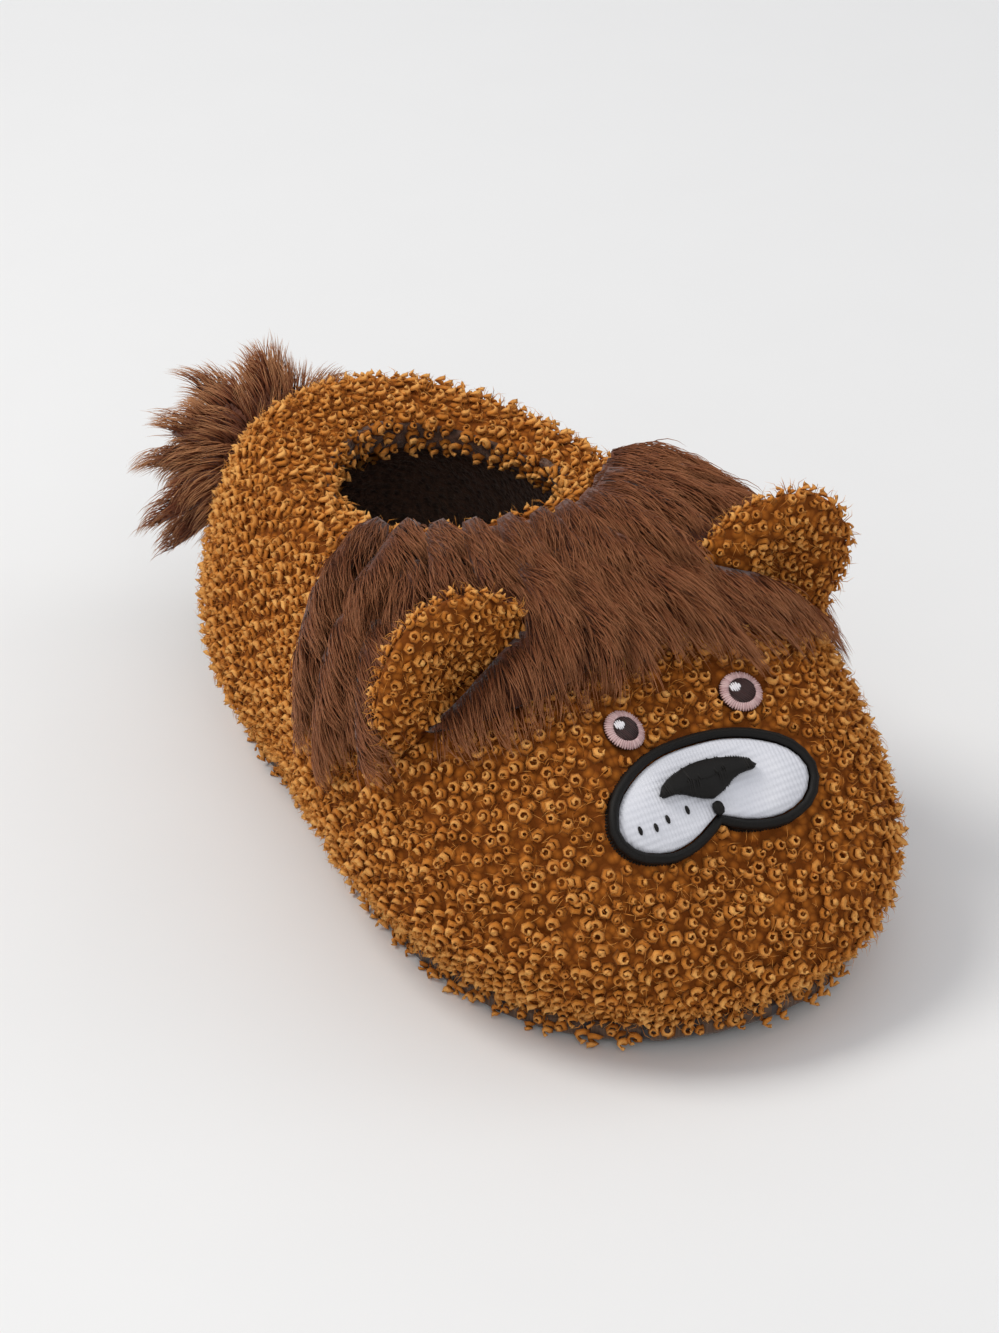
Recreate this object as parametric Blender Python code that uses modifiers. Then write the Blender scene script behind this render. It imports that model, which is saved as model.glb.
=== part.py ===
# Child's animal slipper with a lion's face, one shoe for the right foot, in metres.
# The toe points to -Y, up is +Z and the wearer's right is -X.
# The origin is on the floor, under the middle of the sole.

import math
from bisect import bisect_right
from collections import namedtuple

import bmesh
import bpy
from mathutils import Matrix, Vector
from mathutils.bvhtree import BVHTree

# Sole
SOLE_LENGTH = 0.156
HEEL_WIDTH = 0.052
WAIST_WIDTH = 0.058
BALL_WIDTH = 0.072
OUTSOLE_THICK = 0.0035
OUTSOLE_MARGIN = 0.0006
INSOLE_THICK = 0.0045
TOE_SPRING = 0.0025
TOE_SPRING_RUN = 0.032

# Upper: a padded pile wall sewn to the sole and gathered in at the collar
WALL = 0.0055
SWELL = 0.0085
HEEL_HEIGHT = 0.060
SIDE_HEIGHT = 0.058
INSTEP_HEIGHT = 0.066
COLLAR_LENGTH = 0.053
COLLAR_WIDTH = 0.040
COLLAR_SET_IN = 0.0270

# Clearances between pieces that lie on each other
SEAT_GAP = 0.0003
FUR_GAP = 0.0009

# The exact solver drops the band or leaves open edges where many locks meet, and this one doesn't
FUR_SOLVER = "MANIFOLD"

# Points round the sole, heel first and then by the inner side. along is a share of the sole's length from the
# heel, and aside a share of the named width, + to the inner side.
OutlinePoint = namedtuple("OutlinePoint", "along width aside")
OUTLINE = [
    OutlinePoint(0.000, HEEL_WIDTH, 0.00),
    OutlinePoint(0.038, HEEL_WIDTH, 0.30),
    OutlinePoint(0.155, HEEL_WIDTH, 0.50),
    OutlinePoint(0.370, WAIST_WIDTH, 0.48),
    OutlinePoint(0.570, BALL_WIDTH, 0.45),
    OutlinePoint(0.745, BALL_WIDTH, 0.47),
    OutlinePoint(0.895, BALL_WIDTH, 0.38),
    OutlinePoint(0.978, BALL_WIDTH, 0.20),
    OutlinePoint(1.000, BALL_WIDTH, 0.00),
    OutlinePoint(0.975, BALL_WIDTH, -0.25),
    OutlinePoint(0.880, BALL_WIDTH, -0.45),
    OutlinePoint(0.725, BALL_WIDTH, -0.55),
    OutlinePoint(0.550, BALL_WIDTH, -0.52),
    OutlinePoint(0.360, WAIST_WIDTH, -0.53),
    OutlinePoint(0.155, HEEL_WIDTH, -0.50),
    OutlinePoint(0.038, HEEL_WIDTH, -0.30),
]

# The wall's profile at stations round the shoe. turn runs from 0 at the heel over 0.25 beside the collar to
# 0.5 at the toe, and both sides share it. swell is a share of SWELL. Each _up is a share of the wall's height
# there, and each _in a share of the way in from the swell to the collar's edge.
WallRow = namedtuple("WallRow", "turn swell swell_up shoulder_in shoulder_up crown_in crown_up")
WALLS = [
    WallRow(0.00, 0.70, 0.22, 0.10, 0.72, 0.46, 1.015),
    WallRow(0.12, 0.70, 0.22, 0.10, 0.72, 0.48, 1.020),
    WallRow(0.25, 0.85, 0.22, 0.12, 0.74, 0.54, 1.035),
    WallRow(0.36, 1.05, 0.22, 0.08, 0.66, 0.48, 0.965),
    WallRow(0.44, 0.95, 0.17, 0.09, 0.47, 0.50, 0.885),
    WallRow(0.50, 0.75, 0.13, 0.12, 0.33, 0.53, 0.810),
]

# Heights of the upper's rings, as shares of the way from the sole to the collar
WALL_RISES = [0, 0.02, 0.09, 0.18, 0.28, 0.39, 0.50, 0.61, 0.72, 0.82, 0.90, 0.96, 1]
HEEL_SEGMENTS = 20
TOE_SEGMENTS = 30
SOLE_SEGMENTS = 50

# How far the head's middle lies to the outer side of the sole's
HEAD_MIDDLE = -0.0015

# Ears: cupped half ovals on the corners of the head, leaning outward
EAR_CENTRE = Vector((0.0310, -0.0285, 0.0545))
EAR_HALF_WIDTH = 0.0160
EAR_HEIGHT = 0.0205
EAR_HALF_THICK = 0.0048
EAR_LEAN = 33
EAR_TILT = 12
EAR_CUP_WIDTH = 0.0105
EAR_CUP_HEIGHT = 0.0130
EAR_CUP_DEPTH = 0.0030

# Mane: a band of fur laid over the instep, from the collar's edge forward. turn is 0.5 over the toe, both
# sides share a row, and back and front are rises on the upper.
ManeRow = namedtuple("ManeRow", "turn back front")
MANE = [
    ManeRow(0.300, 0.91, 0.50),
    ManeRow(0.330, 0.95, 0.48),
    ManeRow(0.385, 0.97, 0.51),
    ManeRow(0.440, 0.97, 0.59),
    ManeRow(0.500, 0.97, 0.69),
]
MANE_THICK = 0.0034
MANE_EDGE = 0.0012
MANE_COLUMNS = 26
MANE_ROWS = 5

# Rows of locks on the mane. start and reach are shares of the way from the band's back to its front, root and
# tip are distances over the upper, and sweep is how far a lock drifts sideways.
LockRow = namedtuple("LockRow", "count start reach root tip radius sweep")
MANE_LOCKS = [
    LockRow(18, 0.60, 1.18, 0.0037, 0.0040, 0.0027, 0.010),
    LockRow(15, 0.34, 0.92, 0.0040, 0.0062, 0.0031, 0.012),
    LockRow(12, 0.06, 0.58, 0.0042, 0.0080, 0.0031, 0.010),
]

# Tail: a tuft behind the top of the heel
TAIL_CENTRE = Vector((-0.001, 0.0915, 0.0355))
TAIL_HALF_WIDTH = 0.0135
TAIL_HALF_DEPTH = 0.0105
TAIL_HALF_HEIGHT = 0.0150
TAIL_LOCKS = 22
TAIL_LOCK_LENGTH = 0.0135
TAIL_LOCK_RADIUS = 0.0036
TAIL_DROOP = 0.0050

# Face: a plane leaning against the toe, on which the patches are drawn. The muzzle is sewn on a little to
# the outer side of the middle between the eyes.
FACE_CENTRE = Vector((HEAD_MIDDLE, -0.0590, 0.0370))
FACE_SLOPE = 45
PATCH_GAP = 0.0007
PATCH_THICK = 0.0012
PATCH_DOME = 0.0008
MUZZLE_ASIDE = -0.0022
BORDER_WIDTH = 0.0016
BORDER_THICK = 0.0017
BORDER_GAP = 0.0003
EYE_ASIDE = 0.0121
EYE_UP = 0.0150
EYE_RADIUS = 0.0037
EYE_THICK = 0.0013

# Half outlines on the face, from the top's middle down one side to the bottom's middle
FacePoint = namedtuple("FacePoint", "aside up")
MUZZLE = [
    FacePoint(0.0000, 0.0100),
    FacePoint(0.0070, 0.0094),
    FacePoint(0.0135, 0.0070),
    FacePoint(0.0185, 0.0030),
    FacePoint(0.0202, -0.0018),
    FacePoint(0.0178, -0.0062),
    FacePoint(0.0125, -0.0084),
    FacePoint(0.0066, -0.0078),
    FacePoint(0.0026, -0.0062),
    FacePoint(0.0000, -0.0048),
]
NOSE = [
    FacePoint(0.0000, 0.0058),
    FacePoint(0.0050, 0.0051),
    FacePoint(0.0092, 0.0032),
    FacePoint(0.0102, 0.0018),
    FacePoint(0.0062, 0.0014),
    FacePoint(0.0028, -0.0002),
    FacePoint(0.0000, -0.0012),
]
MOUTH = [
    FacePoint(0.0000, -0.0017),
    FacePoint(0.0006, -0.0019),
    FacePoint(0.0006, -0.0041),
    FacePoint(0.0000, -0.0043),
]

SOLE_BACK = SOLE_LENGTH / 2
FEATHER_Z = OUTSOLE_THICK + SEAT_GAP
COLLAR_CENTRE_Y = SOLE_BACK - COLLAR_SET_IN - COLLAR_LENGTH / 2
FACE_UP = Vector((0, math.cos(math.radians(FACE_SLOPE)), math.sin(math.radians(FACE_SLOPE))))
FACE_OUT = Vector((0, -FACE_UP.z, FACE_UP.y))
GOLDEN_TURN = math.pi * (3 - math.sqrt(5))


def hermite(p0, p1, m0, m1, s):
    """The point at share s between p0 and p1, with slopes m0 and m1 per unit of s."""
    return (
        p0 * (2 * s**3 - 3 * s**2 + 1)
        + m0 * (s**3 - 2 * s**2 + s)
        + p1 * (3 * s**2 - 2 * s**3)
        + m1 * (s**3 - s**2)
    )


def spline(points, knots, where, ends):
    """The point at where on a smooth curve through points, whose places are knots and end slopes are ends."""
    i = min(max(bisect_right(knots, where) - 1, 0), len(knots) - 2)
    span = knots[i + 1] - knots[i]

    def slope(k):
        if k == 0:
            return ends[0]
        if k == len(points) - 1:
            return ends[1]
        before, after = knots[k] - knots[k - 1], knots[k + 1] - knots[k]
        back, ahead = (points[k] - points[k - 1]) / before, (points[k + 1] - points[k]) / after
        return (back * after + ahead * before) / (before + after)

    share = (where - knots[i]) / span
    return hermite(points[i], points[i + 1], slope(i) * span, slope(i + 1) * span, share)


def lengths_along(points):
    """How far along a polyline each of its points lies."""
    places = [0.0]
    for a, b in zip(points, points[1:]):
        places.append(places[-1] + (b - a).length)
    return places


def closed_curve(points, count):
    """A smooth closed curve through flat points, as count points at even distances."""
    wrapped = [points[-1], *points, points[0], points[1]]
    places = lengths_along(wrapped)
    first, last = places[1], places[-2]
    zero = Vector((0, 0))
    return [spline(wrapped, places, first + (last - first) * k / count, (zero, zero)) for k in range(count)]


def mirrored(rows):
    """A whole outline from the half of it that lies on the + side."""
    half = [Vector((row.aside, row.up)) for row in rows]
    return half + [Vector((-point.x, point.y)) for point in reversed(half[1:-1])]


def edge_ways(curve):
    """The flat direction that points out of a closed curve at each of its points."""
    middle = sum(curve, Vector((0, 0))) / len(curve)
    ways = []
    for k, point in enumerate(curve):
        ahead = curve[(k + 1) % len(curve)] - curve[k - 1]
        ways.append(Vector((ahead.y, -ahead.x)).normalized())
    outward = sum(way.dot(point - middle) for way, point in zip(ways, curve))
    return ways if outward > 0 else [-way for way in ways]


def folded_row(rows, turn):
    """A table's row at a turn, smoothed between stations and the same on both sides."""
    place = min(turn % 1.0, 1 - turn % 1.0)
    knots = [row.turn for row in rows]
    return type(rows[0])(
        *(spline([row[k] for row in rows], knots, place, (0, 0)) for k in range(len(rows[0])))
    )


def sole_edge():
    """The sole's edge as close points, how far along each lies, and the way out of the shoe at each."""
    rows = [Vector((row.width * row.aside, SOLE_BACK - row.along * SOLE_LENGTH)) for row in OUTLINE]
    curve = closed_curve(rows, 256)
    ways = edge_ways(curve)
    closed = [*curve, curve[0]]
    return closed, lengths_along(closed), [*ways, ways[0]]


EDGE, EDGE_PLACES, EDGE_WAYS = sole_edge()


def edge_place(test):
    """How far along the sole's edge the first point is that passes test."""
    return next(place for point, place in zip(EDGE, EDGE_PLACES) if test(point))


# How far along the edge the turns 0, 0.25, 0.5, 0.75 and 1 are: the heel, each side of the collar and the toe
QUARTERS = [
    0.0,
    edge_place(lambda point: point.y < COLLAR_CENTRE_Y),
    min(zip(EDGE, EDGE_PLACES), key=lambda pair: pair[0].y)[1],
    edge_place(lambda point: point.x < 0 and point.y > COLLAR_CENTRE_Y),
    EDGE_PLACES[-1],
]


def outline_at(turn):
    """The sole's edge at a turn, and the way out of the shoe there."""
    quarter = (turn % 1.0) * 4
    k = int(quarter)
    place = QUARTERS[k] + (quarter - k) * (QUARTERS[k + 1] - QUARTERS[k])
    i = min(bisect_right(EDGE_PLACES, place) - 1, len(EDGE) - 2)
    share = (place - EDGE_PLACES[i]) / (EDGE_PLACES[i + 1] - EDGE_PLACES[i])
    return EDGE[i].lerp(EDGE[i + 1], share), EDGE_WAYS[i].lerp(EDGE_WAYS[i + 1], share).normalized()


def collar_at(turn):
    """The collar's edge at a turn, seen from above."""
    angle = math.tau * turn
    return Vector(
        (
            COLLAR_WIDTH / 2 * math.sin(angle),
            COLLAR_CENTRE_Y + COLLAR_LENGTH / 2 * math.cos(angle),
        )
    )


def collar_height(turn):
    """The height of the collar's edge over the floor, smooth from heel to side to instep."""
    angle = math.tau * turn
    ends = (HEEL_HEIGHT + INSTEP_HEIGHT) / 2
    return (
        (ends + SIDE_HEIGHT) / 2
        + (HEEL_HEIGHT - INSTEP_HEIGHT) / 2 * math.cos(angle)
        + (ends - SIDE_HEIGHT) / 2 * math.cos(2 * angle)
    )


def toe_lift(y):
    """How far the sole has left the floor at y, because of the toe spring."""
    share = (-SOLE_BACK + TOE_SPRING_RUN - y) / TOE_SPRING_RUN
    return TOE_SPRING * max(0.0, share) ** 2


def wall_curve(turn):
    """The points that the wall's profile passes through at a turn, from the sole to the collar."""
    row = folded_row(WALLS, turn)
    foot, outward = outline_at(turn)
    collar = collar_at(turn)
    height = collar_height(turn) - FEATHER_Z
    swollen = foot + outward * SWELL * row.swell

    def at(plan, up):
        return Vector((plan.x, plan.y, FEATHER_Z + height * up + toe_lift(plan.y)))

    return [
        at(foot, 0),
        at(swollen, row.swell_up),
        at(swollen.lerp(collar, row.shoulder_in), row.shoulder_up),
        at(swollen.lerp(collar, row.crown_in), row.crown_up),
        at(collar, 1),
    ]


def surface_point(turn, rise):
    """A point of the upper's outer face: turn goes round the shoe, rise from 0 at the sole to 1 at the collar."""
    points = wall_curve(turn)
    knots = lengths_along(points)
    into_shoe = (points[-1] - points[-2]).normalized()
    return spline(points, knots, rise * knots[-1], (Vector((0, 0, 1)), into_shoe))


def surface_normal(turn, rise):
    """The direction that points out of the upper's outer face."""
    step = 0.004
    round_it = surface_point(turn + step, rise) - surface_point(turn - step, rise)
    low, high = max(0.0, rise - step), min(1.0, rise + step)
    up_it = surface_point(turn, high) - surface_point(turn, low)
    return up_it.cross(round_it).normalized()


def off_surface(turn, rise, out):
    """A point that stands out from the upper's outer face by a distance."""
    return surface_point(turn, rise) + surface_normal(turn, rise) * out


def shoe_turns():
    """The turns of the upper's lengthwise lines, closer together round the toe."""
    heel = [0.5 * k / HEEL_SEGMENTS for k in range(HEEL_SEGMENTS // 2)]
    toe = [0.25 + 0.5 * k / TOE_SEGMENTS for k in range(TOE_SEGMENTS)]
    return heel + toe + [0.75 + turn for turn in heel]


def finish(name, colour, roughness):
    """A plain material for one kind of cloth, fur or rubber."""
    material = bpy.data.materials.new(name)
    material.use_nodes = True
    shader = material.node_tree.nodes["Principled BSDF"]
    shader.inputs["Base Color"].default_value = (*colour, 1)
    shader.inputs["Roughness"].default_value = roughness
    return material


def collection(name):
    """A new collection in the scene."""
    made = bpy.data.collections.new(name)
    bpy.context.scene.collection.children.link(made)
    return made


def add_object(name, bm, material):
    """A smooth object made from a bmesh, with one material, in the slipper's collection."""
    mesh = bpy.data.meshes.new(name)
    bm.to_mesh(mesh)
    bm.free()
    mesh.materials.append(material)
    mesh.shade_smooth()
    made = bpy.data.objects.new(name, mesh)
    SLIPPER.objects.link(made)
    return made


def add_cutter(name, bm):
    """An unseen object made from a bmesh, for the Booleans."""
    bmesh.ops.recalc_face_normals(bm, faces=bm.faces)
    mesh = bpy.data.meshes.new(name)
    bm.to_mesh(mesh)
    bm.free()
    made = bpy.data.objects.new(name, mesh)
    made.hide_render = True
    made.display_type = "WIRE"
    CUTTERS.objects.link(made)
    return made


def combine(thing, cutter, operation, solver="EXACT"):
    """Join a cutter to an object, or take it away, with a Boolean."""
    boolean = thing.modifiers.new(cutter.name, "BOOLEAN")
    boolean.operation = operation
    boolean.object = cutter
    boolean.solver = solver


def link_rings(bm, rings):
    """Faces between each two neighbouring closed rings of vertices."""
    for low, high in zip(rings, rings[1:]):
        for i in range(len(low)):
            j = (i + 1) % len(low)
            bm.faces.new((low[j], low[i], high[i], high[j]))


def close_ring(bm, ring, middle):
    """A fan of faces between a ring of vertices and a point in its middle."""
    hub = bm.verts.new(middle)
    for i, vertex in enumerate(ring):
        bm.faces.new((vertex, ring[(i + 1) % len(ring)], hub))


def add_upper(material):
    """The hollow upper: a loft from the sole's edge to the collar, given its wall by a Solidify."""
    turns = shoe_turns()
    bm = bmesh.new()
    rings = [[bm.verts.new(surface_point(turn, rise)) for turn in turns] for rise in WALL_RISES]
    link_rings(bm, rings)
    upper = add_object("upper", bm, material)
    wall = upper.modifiers.new("wall", "SOLIDIFY")
    wall.thickness = WALL
    wall.offset = -1
    rim = upper.modifiers.new("soft_rim", "BEVEL")
    rim.width = WALL * 0.28
    rim.segments = 1
    rim.limit_method = "ANGLE"
    rim.angle_limit = math.radians(70)
    return upper


def add_upper_form():
    """The upper as a full body, grown by the seat gap, to fit the ears and the tail to it."""
    turns = shoe_turns()
    bm = bmesh.new()
    rings = [[bm.verts.new(off_surface(turn, rise, SEAT_GAP)) for turn in turns] for rise in WALL_RISES[1:]]
    link_rings(bm, rings)
    for ring in (rings[0], rings[-1]):
        middle = sum((vertex.co for vertex in ring), Vector()) / len(ring)
        close_ring(bm, ring, middle)
    return add_cutter("upper_form", bm)


def add_sole_layer(name, grow, low, thick, edge, material):
    """A layer of the sole: its outline grown by a distance, with soft edges, lifted at the toe."""
    high = low + thick
    bm = bmesh.new()
    rings = []
    for z, out in ((low, grow - edge), (low + edge, grow), (high - edge, grow), (high, grow - edge)):
        ring = []
        for k in range(SOLE_SEGMENTS):
            point, outward = outline_at(k / SOLE_SEGMENTS)
            plan = point + outward * out
            ring.append(bm.verts.new((plan.x, plan.y, z + toe_lift(plan.y))))
        rings.append(ring)
    link_rings(bm, rings)
    for ring in (rings[0], rings[-1]):
        close_along(bm, ring)
    bmesh.ops.recalc_face_normals(bm, faces=bm.faces)
    return add_object(name, bm, material)


def close_along(bm, ring):
    """Faces across a symmetrical ring, each from one side of the sole to the other."""
    count = len(ring)
    half = count // 2
    bm.faces.new((ring[0], ring[1], ring[-1]))
    for k in range(1, half - 1):
        bm.faces.new((ring[k], ring[k + 1], ring[-k - 1], ring[-k]))
    bm.faces.new((ring[half - 1], ring[half], ring[half + 1]))


def ear_placing(side):
    """Where an ear stands: side is 1 for the inner ear and -1 for the outer."""
    centre = Vector((HEAD_MIDDLE + EAR_CENTRE.x * side, EAR_CENTRE.y, EAR_CENTRE.z))
    return (
        Matrix.Translation(centre)
        @ Matrix.Rotation(math.radians(EAR_LEAN * side), 4, "Y")
        @ Matrix.Rotation(math.radians(EAR_TILT), 4, "X")
    )


def ellipsoid(placing, centre, radii, around, along):
    """A bmesh of an ellipsoid, upright in a placing."""
    bm = bmesh.new()
    matrix = placing @ Matrix.Translation(centre) @ Matrix.Diagonal((*radii, 1))
    bmesh.ops.create_uvsphere(bm, u_segments=around, v_segments=along, radius=1, matrix=matrix)
    return bm


def add_ear(name, side, form, material):
    """An ear: half an oval cushion with a shallow cup in front, seated on the upper."""
    placing = ear_placing(side)
    radii = (EAR_HALF_WIDTH, EAR_HALF_THICK, EAR_HEIGHT)
    ear = add_object(name, ellipsoid(placing, (0, 0, 0), radii, 20, 12), material)
    cup_radii = (EAR_CUP_WIDTH, EAR_HALF_THICK, EAR_CUP_HEIGHT)
    cup_centre = (0, EAR_CUP_DEPTH - 2 * EAR_HALF_THICK, EAR_HEIGHT * 0.36)
    combine(ear, add_cutter(name + "_cup", ellipsoid(placing, cup_centre, cup_radii, 20, 10)), "DIFFERENCE")
    combine(ear, form, "DIFFERENCE")
    return ear


def ear_pocket(name, side):
    """The room that an ear takes in the mane."""
    radii = (EAR_HALF_WIDTH + FUR_GAP, EAR_HALF_THICK + FUR_GAP, EAR_HEIGHT + FUR_GAP)
    return add_cutter(name, ellipsoid(ear_placing(side), (0, 0, 0), radii, 22, 12))


def add_lock(bm, path, radius, sides=5):
    """A tapered lock of fur along a path of points, blunt at its root and pointed at its tip."""
    rings = []
    for k, point in enumerate(path[:-1]):
        ahead = (path[k + 1] - path[max(k - 1, 0)]).normalized()
        aside = ahead.orthogonal().normalized()
        across = ahead.cross(aside)
        swell = radius * (0.72, 1.0, 0.78, 0.5)[min(k, 3)]
        angles = [math.tau * i / sides for i in range(sides)]
        rings.append(
            [bm.verts.new(point + (aside * math.cos(a) + across * math.sin(a)) * swell) for a in angles]
        )
    link_rings(bm, rings)
    bm.faces.new(rings[0])
    close_ring(bm, rings[-1], path[-1])


def mane_turn(share):
    """The turn at a share of the mane's width, from 0 at its inner end to 1 at its outer end."""
    return MANE[0].turn + (1 - 2 * MANE[0].turn) * share


def mane_point(share, forward, out):
    """A point over the upper in the mane's own terms: forward runs from 0 at its back edge to 1 at its front."""
    turn = mane_turn(share)
    row = folded_row(MANE, turn)
    return off_surface(turn, row.back + (row.front - row.back) * forward, out)


def mane_thickness(share, forward):
    """The band's thickness, full in the middle and thin along its borders."""
    ends = min(1.0, 8 * min(share, 1 - share))
    edges = min(1.0, 4 * min(forward, 1 - forward))
    return MANE_EDGE + (MANE_THICK - MANE_EDGE) * math.sin(math.pi / 2 * min(ends, edges))


def add_mane(material):
    """The mane: a curved band over the instep with its locks fused on and room for both ears."""
    bm = bmesh.new()
    across = [k / MANE_COLUMNS for k in range(MANE_COLUMNS + 1)]
    forward = [k / MANE_ROWS for k in range(MANE_ROWS + 1)]
    under = [[bm.verts.new(mane_point(a, f, FUR_GAP)) for f in forward] for a in across]
    over = [
        [bm.verts.new(mane_point(a, f, FUR_GAP + mane_thickness(a, f))) for f in forward] for a in across
    ]
    for lines in (under, over):
        for left, right in zip(lines, lines[1:]):
            for k in range(MANE_ROWS):
                bm.faces.new((left[k], right[k], right[k + 1], left[k + 1]))
    for k in range(MANE_COLUMNS):
        for f in (0, MANE_ROWS):
            bm.faces.new((under[k][f], under[k + 1][f], over[k + 1][f], over[k][f]))
    for k in range(MANE_ROWS):
        for a in (0, MANE_COLUMNS):
            bm.faces.new((under[a][k], under[a][k + 1], over[a][k + 1], over[a][k]))
    bmesh.ops.recalc_face_normals(bm, faces=bm.faces)
    mane = add_object("mane", bm, material)
    for number, row in enumerate(MANE_LOCKS):
        combine(mane, add_mane_locks(f"mane_locks_{number}", row, number), "UNION", FUR_SOLVER)
    for side, name in ((1, "left_pocket"), (-1, "right_pocket")):
        combine(mane, ear_pocket(name, side), "DIFFERENCE", FUR_SOLVER)
    return mane


def near_an_ear(point, room):
    """Whether a point lies in an ear, or within a distance of one."""
    for side in (1, -1):
        local = ear_placing(side).inverted() @ point
        sizes = (EAR_HALF_WIDTH + room, EAR_HALF_THICK + room, EAR_HEIGHT + room)
        if sum((value / size) ** 2 for value, size in zip(local, sizes)) < 1:
            return True
    return False


def add_mane_locks(name, row, number):
    """A row of the mane's locks, each drifting a little to its own side and ending before an ear."""
    bm = bmesh.new()
    for k in range(row.count):
        share = (k + 0.5) / row.count
        drift = row.sweep * math.sin(2.4 * k + number) + 0.5 * row.sweep * (2 * share - 1)
        reach = row.reach + 0.05 * math.sin(3.7 * k + 2 * number)

        def lock_point(along):
            place = min(max(share + drift * along, 0.03), 0.97)
            lift = row.root + (row.tip - row.root) * along**1.5
            return mane_point(place, row.start + (reach - row.start) * along, lift)

        clear = 0
        while clear < 12 and not near_an_ear(lock_point((clear + 1) / 12), row.radius + FUR_GAP):
            clear += 1
        if clear > 4 and not near_an_ear(lock_point(0), row.radius + FUR_GAP):
            add_lock(bm, [lock_point(clear / 12 * step / 4) for step in range(5)], row.radius)
    return add_cutter(name, bm)


def add_tail(form, material):
    """The tail: an oval tuft with drooping locks all round, fitted to the heel."""
    radii = (TAIL_HALF_WIDTH, TAIL_HALF_DEPTH, TAIL_HALF_HEIGHT)
    core = ellipsoid(Matrix.Translation(TAIL_CENTRE), (0, 0, 0), radii, 20, 12)
    tail = add_object("tail", core, material)
    for layer in range(2):
        bm = bmesh.new()
        for k in range(layer, TAIL_LOCKS, 2):
            height = 1 - 2 * (k + 0.5) / TAIL_LOCKS
            level = math.sqrt(1 - height * height)
            angle = GOLDEN_TURN * k
            way = Vector((math.cos(angle) * level, math.sin(angle) * level, height))
            way = Vector((way.x, max(way.y, -0.25) + 0.35, way.z)).normalized()
            root = TAIL_CENTRE + Vector((way.x * radii[0], way.y * radii[1], way.z * radii[2])) * 0.7
            path = []
            for step in range(5):
                along = step / 4
                path.append(root + way * TAIL_LOCK_LENGTH * along - Vector((0, 0, TAIL_DROOP * along**2)))
            add_lock(bm, path, TAIL_LOCK_RADIUS)
        combine(tail, add_cutter(f"tail_locks_{layer}", bm), "UNION", FUR_SOLVER)
    combine(tail, form, "DIFFERENCE", FUR_SOLVER)
    return tail


def over_face(tree, flat, out):
    """A point over the toe, from flat coordinates on the face's plane and a distance from the upper."""
    start = FACE_CENTRE + Vector((flat.x, 0, 0)) + FACE_UP * flat.y + FACE_OUT * 0.05
    hit = tree.ray_cast(start, -FACE_OUT)[0]
    return hit + FACE_OUT * out


def add_patch(name, tree, curve, base, thick, dome, material):
    """A flat pad with a soft edge and a slight dome, laid over the face inside a closed curve."""
    middle = sum(curve, Vector((0, 0))) / len(curve)
    bm = bmesh.new()
    rings = []
    levels = (
        (0.38, 0),
        (0.72, 0),
        (1.0, 0),
        (1.0, thick * 0.55),
        (0.95, thick),
        (0.72, thick + dome * 0.5),
        (0.38, thick + dome * 0.9),
    )
    for size, height in levels:
        rings.append(
            [bm.verts.new(over_face(tree, middle.lerp(point, size), base + height)) for point in curve]
        )
    link_rings(bm, rings)
    close_ring(bm, rings[0], over_face(tree, middle, base))
    close_ring(bm, rings[-1], over_face(tree, middle, base + thick + dome))
    bmesh.ops.recalc_face_normals(bm, faces=bm.faces)
    return add_object(name, bm, material)


def moved(curve, aside):
    """A flat curve moved sideways."""
    return [point + Vector((aside, 0)) for point in curve]


def add_border(name, tree, curve, inner, outer, base, thick, material):
    """A rounded band round a closed curve on the face, between two distances out from it."""
    ways = edge_ways(curve)
    width = outer - inner
    profile = (
        (inner, 0),
        (outer, 0),
        (outer, thick * 0.6),
        (inner + width * 0.5, thick),
        (inner, thick * 0.6),
    )
    bm = bmesh.new()
    rings = []
    for out, height in profile:
        rings.append(
            [
                bm.verts.new(over_face(tree, point + way * out, base + height))
                for point, way in zip(curve, ways)
            ]
        )
    link_rings(bm, [*rings, rings[0]])
    bmesh.ops.recalc_face_normals(bm, faces=bm.faces)
    return add_object(name, bm, material)


def add_face(upper, white, thread, eye):
    """The muzzle with its border, nose and mouth line, and both eyes."""
    tree = BVHTree.FromObject(upper, bpy.context.evaluated_depsgraph_get())
    muzzle = moved(closed_curve(mirrored(MUZZLE), 40), MUZZLE_ASIDE)
    nose = moved(closed_curve(mirrored(NOSE), 24), MUZZLE_ASIDE)
    mouth = moved(closed_curve(mirrored(MOUTH), 10), MUZZLE_ASIDE)
    ways = edge_ways(muzzle)
    patch = [point - way * (BORDER_WIDTH / 2 + BORDER_GAP) for point, way in zip(muzzle, ways)]
    add_patch("muzzle_patch", tree, patch, PATCH_GAP, PATCH_THICK, 0, white)
    half = BORDER_WIDTH / 2
    add_border("muzzle_border", tree, muzzle, -half, half, PATCH_GAP, BORDER_THICK, thread)
    over_patch = PATCH_GAP + PATCH_THICK + SEAT_GAP
    add_patch("nose", tree, nose, over_patch, 0.0010, PATCH_DOME, thread)
    add_patch("mouth_line", tree, mouth, over_patch, 0.0008, 0, thread)
    for side, name in ((1, "eye_inner"), (-1, "eye_outer")):
        curve = [
            Vector(
                (
                    side * EYE_ASIDE + EYE_RADIUS * math.cos(math.tau * k / 16),
                    EYE_UP + EYE_RADIUS * math.sin(math.tau * k / 16),
                )
            )
            for k in range(16)
        ]
        add_patch(name, tree, curve, PATCH_GAP, EYE_THICK * 0.6, EYE_THICK * 0.4, eye)


for leftover in list(bpy.data.objects):
    bpy.data.objects.remove(leftover)
SLIPPER = collection("animal_slipper")
CUTTERS = collection("cutters")
CUTTERS.hide_render = True

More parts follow.
